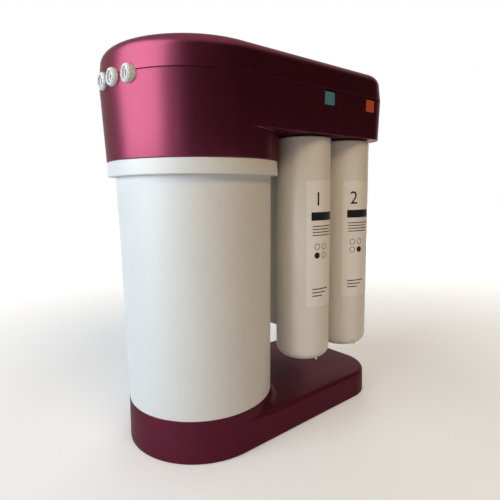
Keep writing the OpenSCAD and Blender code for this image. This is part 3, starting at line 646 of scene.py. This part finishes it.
def softened(node, name, far_y):
    """Copy of a CAD moulding whose outer cap edges are eased."""
    bm = bmesh.new()
    bm.from_mesh(nodes[node].data)
    bmesh.ops.scale(bm, vec=(1 / MM, 1 / MM, 1 / MM), verts=bm.verts)
    bmesh.ops.remove_doubles(bm, verts=bm.verts, dist=cap_merge)
    bmesh.ops.dissolve_limit(bm, angle_limit=flat_turn, verts=bm.verts, edges=bm.edges)
    rim = [e for e in bm.edges if max(abs(v.co.y) for v in e.verts) > far_y - cap_slack
           and len(e.link_faces) == 2 and e.calc_face_angle() > sharp_turn]
    bmesh.ops.bevel(bm, geom=rim, offset=cap_ease, segments=cap_ease_steps, profile=0.5,
                    affect="EDGES", clamp_overlap=True)
    return smooth_piece(name, bm)


def coil(name, x, y, z, way, length):
    """Coil spring along Y from a point, as one swept wire with closed ends."""
    total = spring_turns * turn_steps
    along = Vector((0.0, 1.0, 0.0))
    profiles = [[] for _ in range(wire_sides)]
    for step in range(total + 1):
        share = step / total
        turn = 2 * math.pi * spring_turns * share
        climb = (share * spring_turns - seat_turns) / (spring_turns - 2 * seat_turns)
        climb = min(1.0, max(0.0, climb))
        centre = Vector((x + spring_r * math.cos(turn), y + way * (wire_r + (length - 2 * wire_r) * climb),
                         z + spring_r * math.sin(turn)))
        out = Vector((math.cos(turn), 0.0, math.sin(turn)))
        for k in range(wire_sides):
            a = 2 * math.pi * k / wire_sides
            profiles[k].append(centre + wire_r * (math.cos(a) * out + math.sin(a) * along))
    first = sum((profile[0] for profile in profiles), Vector()) / wire_sides
    last = sum((profile[-1] for profile in profiles), Vector()) / wire_sides
    return skin(name, [[first] + profile + [last] for profile in profiles], False)


for number, spot in enumerate(cart_spots, start=1):
    is_teal = number in teal_buttons
    cap_low, cap_high = (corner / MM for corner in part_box(f"button_{number}"))
    far_y = max(abs(cap_low.y), abs(cap_high.y))
    button = softened(f"button_{number}", f"release_button_{number}", far_y)
    button.data.materials.append(teal if is_teal else orange)
    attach(button, f"button_{number}")
    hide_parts(f"button_{number}")
    coil_low, coil_high = (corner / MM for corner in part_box(f"button_spring_{number}"))
    coil_z = (coil_low.z + coil_high.z) / 2
    way = math.copysign(1.0, spot.y)
    seat_y = coil_low.y if way > 0 else coil_high.y
    length = coil_high.y - coil_low.y
    spring = coil(f"return_spring_{number}", spot.x, seat_y, coil_z, way, length)
    spring.data.materials.append(bright_steel)
    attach(spring, "unit")
    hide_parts(f"button_spring_{number}")
    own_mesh(spring)

# Cartridges
# Off-white canisters with a rounded foot and a small moulding pip, turned into dark bayonet sockets.
# Each has a white neck with two ring seals, its own filling, and a plain paper label.
cart_r = 32.2
cart_low = 73.3
cart_top = 333.5
cart_round = 12.0
cart_shoulder = 1.5
cart_sides = 128
foot_rise = 1.0
foot_inner_r = 15.0
foot_outer_r = 16.5
foot_ease = 0.6
neck_mouth_r = 20.0
pip_r = 1.3
pip_in = 2.8
pip_rise = 2.2
pip_rows = 12
pip_sides = 24
pip_facing = (-103.0, -103.0, 77.0, 77.0)
label_facing = (-88.0, -99.0, 88.0, 81.0)
label_low = 140.0
label_high = 285.0
label_w = 46.0
label_t = 0.12
label_gap = 0.02
strip_w = 1.5
print_half = 19.0
ink_t = 0.05
bar_margin = 1.5
bar_low = 240.0
bar_high = 249.5
numeral_u = -9.0
numeral_low = 257.0
numeral_size = 22.0
line_count = 4
line_margin = 3.0
line_end = 4.0
line_stagger = 3.0
line_low = 233.0
line_pitch = 3.4
line_h = 1.0
ring_u = -5.0
ring_aside = 5.0
ring_low = 200.0
ring_pitch = 10.0
ring_r = 3.6
ring_hole = 3.0
ring_sides = 28
note_count = 3
note_low = 152.0
note_pitch = 4.0
note_h = 1.2
note_end = -2.0
note_step = 5.0
cream = moulded("cream_canister_plastic", (0.82, 0.8, 0.75), rough=0.4, grain=650.0, relief=0.04,
                drift=0.025)
fillings = (
    moulded("white_spun_filling", (0.82, 0.8, 0.74), rough=0.85, grain=260.0, relief=0.6, drift=0.1),
    moulded("black_carbon_filling", (0.02, 0.02, 0.021), rough=0.8, grain=500.0, relief=0.6, drift=0.2),
    moulded("pale_wound_filling", (0.72, 0.72, 0.74), rough=0.6, grain=300.0, relief=0.3, drift=0.06),
    moulded("grey_mineral_filling", (0.09, 0.1, 0.11), rough=0.8, grain=380.0, relief=0.8, drift=0.3),
)
label_paper = moulded("white_label_paper", (0.92, 0.9, 0.86), rough=0.5, grain=1600.0, relief=0.06,
                      drift=0.015)
label_ink = moulded("dark_label_ink", (0.008, 0.008, 0.009), rough=0.5, grain=1600.0, relief=0.06,
                    drift=0.1, shine=0.2)


def wrapped(name, flat, spot, radius, facing, thick):
    """Thin sheet: a flat form in label width and height, bent round a canister."""
    width = max(abs(v.co.x) for v in flat.verts)
    strips = int(width / strip_w) + 1
    for k in range(-strips, strips + 1):
        every = flat.verts[:] + flat.edges[:] + flat.faces[:]
        bmesh.ops.bisect_plane(flat, geom=every, plane_co=(strip_w * k, 0.0, 0.0), plane_no=(1.0, 0.0, 0.0))
    shell = bmesh.ops.extrude_face_region(flat, geom=flat.faces[:])
    lifted = {v for v in shell["geom"] if isinstance(v, bmesh.types.BMVert)}
    for v in flat.verts:
        turn = math.radians(facing) + v.co.x / radius
        reach = radius + thick if v in lifted else radius
        v.co = Vector((spot.x + reach * math.cos(turn), spot.y + reach * math.sin(turn), v.co.y))
    return smooth_piece(name, flat)


def add_bar(bm, left, low, right, high):
    """Flat rectangle on the label."""
    corners = ((left, low), (right, low), (right, high), (left, high))
    bm.faces.new([bm.verts.new((u, v, 0.0)) for u, v in corners])


def add_spot(bm, u, v, radius, hole=0.0):
    """Flat disc or ring on the label."""
    turns = [2 * math.pi * k / ring_sides for k in range(ring_sides)]
    ring = [(math.cos(a), math.sin(a)) for a in turns]
    outer = [bm.verts.new((u + radius * c, v + radius * s, 0.0)) for c, s in ring]
    if not hole:
        bm.faces.new(outer)
        return
    inner = [bm.verts.new((u + hole * c, v + hole * s, 0.0)) for c, s in ring]
    for k in range(ring_sides):
        n = (k + 1) % ring_sides
        bm.faces.new((outer[k], outer[n], inner[n], inner[k]))


def add_numeral(bm, numeral, u, v, size):
    """Plain numeral on the label, from Blender's own letter outlines."""
    curve = bpy.data.curves.new("numeral", "FONT")
    curve.body = numeral
    curve.size = size
    curve.align_x = "CENTER"
    carrier = bpy.data.objects.new("numeral", curve)
    mesh = bpy.data.meshes.new_from_object(carrier)
    mesh.transform(Matrix.Translation((u, v, 0.0)))
    bm.from_mesh(mesh)
    bpy.data.meshes.remove(mesh)
    bpy.data.objects.remove(carrier)
    bpy.data.curves.remove(curve)


def label_print(number):
    """Flat marks of one label: a bar, its numeral, lines of print, and rings with its own one filled."""
    ink = bmesh.new()
    left = -print_half + line_margin
    add_bar(ink, -print_half + bar_margin, bar_low, print_half - bar_margin, bar_high)
    add_numeral(ink, str(number), numeral_u, numeral_low, numeral_size)
    for row in range(line_count):
        low = line_low - line_pitch * row
        add_bar(ink, left, low, print_half - line_end - line_stagger * (row % 2), low + line_h)
    for k in range(4):
        u = ring_u + ring_aside * (2 * (k % 2) - 1)
        v = ring_low + ring_pitch * (k // 2)
        add_spot(ink, u, v, ring_r, 0.0 if k + 1 == number else ring_hole)
    for row in range(note_count):
        low = note_low + note_pitch * row
        add_bar(ink, left, low, note_end + note_step * row, low + note_h)
    return ink


canister_outline = [(0.0, cart_low + foot_rise)]
canister_outline += eased([
    (foot_inner_r, cart_low + foot_rise, foot_ease),
    (foot_outer_r, cart_low, foot_ease),
    (cart_r, cart_low, cart_round),
    (cart_r, cart_top, cart_shoulder),
    (neck_mouth_r, cart_top, 0.0),
])
canister_outline.append((0.0, cart_top))
pip_turns = [math.pi * k / pip_rows for k in range(pip_rows + 1)]
pip_outline = [(pip_r * math.sin(a), cart_low + pip_rise - pip_r * math.cos(a)) for a in pip_turns]
pip_reach = cart_r - pip_in
paper_r = cart_r + label_gap
for number, spot in enumerate(cart_spots, start=1):
    body = f"cartridge_{number}"
    shell = turned(f"canister_{number}", spot.x, spot.y, canister_outline, cart_sides, False)
    turn = math.radians(pip_facing[number - 1])
    pip_x = spot.x + pip_reach * math.cos(turn)
    pip_y = spot.y + pip_reach * math.sin(turn)
    pip = turned(f"canister_pip_{number}", pip_x, pip_y, pip_outline, pip_sides, False)
    for piece in (shell, pip):
        piece.data.materials.append(cream)
        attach(piece, body)
    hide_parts(f"cart_shell_{number}")

    facing = label_facing[number - 1]
    paper = bmesh.new()
    add_bar(paper, -label_w / 2, label_low, label_w / 2, label_high)
    label = wrapped(f"label_{number}", paper, spot, paper_r, facing, label_t)
    label.data.materials.append(label_paper)
    marks = wrapped(f"label_marks_{number}", label_print(number), spot, paper_r + label_t, facing, ink_t)
    marks.data.materials.append(label_ink)
    for piece in (label, marks):
        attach(piece, body)
    dress(white_plastic, f"cart_neck_{number}")
    dress(black_rubber, f"cart_seals_{number}")
    dress(fillings[number - 1], f"cart_media_{number}")
    dress(dark_plastic, f"socket_{number}")

# Studio
# A pale floor that keeps a soft shadow, white beyond it, and a dim cloth flag behind the camera.
# A window stands at the left, as one lamp that lights and a card that the gloss mirrors. A warm
# fill, a back fill and a weak top light soften it. The camera is where the photograph was taken.
floor_half = 6000.0
floor_cells = 8
flag_r = 1900.0
flag_h = 2600.0
flag_steps = 24
flag_from = -138.0
flag_to = -8.0
camera_lens = 30.44
camera_sensor = 36.0
camera_yaw = math.radians(50.335)
camera_pitch = math.radians(7.963)
camera_roll = math.radians(-0.802)
eye_before_front = 494.6
eye_y = -404.6
eye_z = 274.5
scene = bpy.context.scene
scene.view_settings.view_transform = "Standard"


def seen_ray(tree):
    """One for camera, glossy and transmission rays, else zero."""
    path = tree.nodes.new("ShaderNodeLightPath")
    first = tree.nodes.new("ShaderNodeMath")
    first.operation = "MAXIMUM"
    second = tree.nodes.new("ShaderNodeMath")
    second.operation = "MAXIMUM"
    tree.links.new(path.outputs["Is Camera Ray"], first.inputs[0])
    tree.links.new(path.outputs["Is Glossy Ray"], first.inputs[1])
    tree.links.new(first.outputs[0], second.inputs[0])
    tree.links.new(path.outputs["Is Transmission Ray"], second.inputs[1])
    return second.outputs[0]


world = bpy.data.worlds.new("studio")
scene.world = world
world.use_nodes = True
sky = world.node_tree
ambient = sky.nodes["Background"]
ambient.inputs["Color"].default_value = (1.0, 0.88, 0.72, 1.0)
ambient.inputs["Strength"].default_value = 0.11
beyond = sky.nodes.new("ShaderNodeBackground")
beyond.inputs["Color"].default_value = (1.0, 1.0, 1.0, 1.0)
beyond.inputs["Strength"].default_value = 1.0
pick = sky.nodes.new("ShaderNodeMixShader")
sky.links.new(seen_ray(sky), pick.inputs["Fac"])
sky.links.new(ambient.outputs[0], pick.inputs[1])
sky.links.new(beyond.outputs[0], pick.inputs[2])
sky.links.new(pick.outputs[0], sky.nodes["World Output"].inputs["Surface"])

floor_bm = bmesh.new()
bmesh.ops.create_grid(floor_bm, x_segments=floor_cells, y_segments=floor_cells, size=floor_half)
floor = smooth_piece("studio_floor", floor_bm)
floor_paint = bpy.data.materials.new("studio_floor_paint")
floor_paint.use_nodes = True
paint = floor_paint.node_tree
matt = paint.nodes["Principled BSDF"]
matt.inputs["Base Color"].default_value = (0.8, 0.8, 0.8, 1.0)
matt.inputs["Roughness"].default_value = 0.9
glow = paint.nodes.new("ShaderNodeEmission")
where = paint.nodes.new("ShaderNodeTexCoord")
away = paint.nodes.new("ShaderNodeVectorMath")
away.operation = "LENGTH"
fade = paint.nodes.new("ShaderNodeMapRange")
fade.inputs["From Min"].default_value = 0.3
fade.inputs["From Max"].default_value = 1.6
fade.inputs["To Min"].default_value = 0.25
fade.inputs["To Max"].default_value = 1.0
paint.links.new(where.outputs["Object"], away.inputs[0])
paint.links.new(away.outputs["Value"], fade.inputs["Value"])
paint.links.new(fade.outputs["Result"], glow.inputs["Strength"])
both = paint.nodes.new("ShaderNodeAddShader")
choose = paint.nodes.new("ShaderNodeMixShader")
paint.links.new(matt.outputs[0], both.inputs[0])
paint.links.new(glow.outputs[0], both.inputs[1])
paint.links.new(seen_ray(paint), choose.inputs["Fac"])
paint.links.new(matt.outputs[0], choose.inputs[1])
paint.links.new(both.outputs[0], choose.inputs[2])
paint.links.new(choose.outputs[0], paint.nodes["Material Output"].inputs["Surface"])
floor.data.materials.append(floor_paint)

flag_cloth = moulded("dim_flag_cloth", (0.055, 0.026, 0.011), rough=0.9, grain=300.0, relief=0.2, shine=0.0)
flag_bm = bmesh.new()
flag_rows = []
for k in range(flag_steps + 1):
    turn = math.radians(flag_from + (flag_to - flag_from) * k / flag_steps)
    foot = Vector((flag_r * math.cos(turn), flag_r * math.sin(turn), 0.0))
    flag_rows.append((flag_bm.verts.new(foot), flag_bm.verts.new(foot + Vector((0.0, 0.0, flag_h)))))
for here, there in zip(flag_rows, flag_rows[1:]):
    flag_bm.faces.new((here[0], there[0], there[1], here[1]))
flag = smooth_piece("studio_flag", flag_bm)
flag.data.materials.append(flag_cloth)
flag.visible_camera = False


def soft_light(name, spot, aim, width, height, power, colour, mirrored=True, lighting=True):
    """Rectangular soft light aimed at a point, in metres and watts."""
    lamp = bpy.data.lights.new(name, "AREA")
    lamp.shape = "RECTANGLE"
    lamp.size = width
    lamp.size_y = height
    lamp.energy = power
    lamp.color = colour
    holder = bpy.data.objects.new(name, lamp)
    holder.location = spot
    holder.visible_glossy = mirrored
    holder.visible_diffuse = lighting
    holder.rotation_euler = (Vector(aim) - Vector(spot)).to_track_quat("-Z", "Y").to_euler()
    scene.collection.objects.link(holder)


soft_light("window_light", spot=(-1.62, 0.06, 0.75), aim=(-0.07, 0.0, 0.3), width=1.25, height=0.75,
           power=20.4, colour=(0.74, 0.875, 1.0), mirrored=False)
soft_light("window_card", spot=(-1.64, 0.2, 1.07), aim=(-0.07, 0.0, 0.4), width=1.95, height=2.1,
           power=82.0, colour=(0.95, 0.98, 1.0), lighting=False)
soft_light("warm_fill", spot=(-0.2, -1.3, 1.45), aim=(0.03, 0.0, 0.18), width=0.8, height=0.6,
           power=10.4, colour=(1.0, 0.7, 0.4), mirrored=False)
soft_light("back_fill", spot=(1.3, 1.1, 0.9), aim=(0.05, 0.0, 0.2), width=1.2, height=1.0,
           power=9.0, colour=(1.0, 0.97, 0.92), mirrored=False)
soft_light("top_light", spot=(0.1, 0.3, 1.9), aim=(0.0, 0.0, 0.2), width=1.6, height=1.6,
           power=2.0, colour=(1.0, 0.98, 0.96))

camera_data = bpy.data.cameras.new("camera")
camera_data.sensor_width = camera_sensor
camera_data.lens = camera_lens
camera_data.clip_start = 0.01
camera = bpy.data.objects.new("camera", camera_data)
level = math.cos(camera_pitch)
ahead = Vector((math.cos(camera_yaw) * level, math.sin(camera_yaw) * level, -math.sin(camera_pitch)))
right = Vector((math.sin(camera_yaw), -math.cos(camera_yaw), 0.0))
up = right.cross(ahead)
rolled_right = right * math.cos(camera_roll) + up * math.sin(camera_roll)
rolled_up = up * math.cos(camera_roll) - right * math.sin(camera_roll)
turn = Matrix((rolled_right, rolled_up, -ahead)).transposed()
eye = Vector((front_x - eye_before_front, eye_y, eye_z))
camera.matrix_world = Matrix.Translation(eye * MM) @ turn.to_4x4()
scene.collection.objects.link(camera)
scene.camera = camera
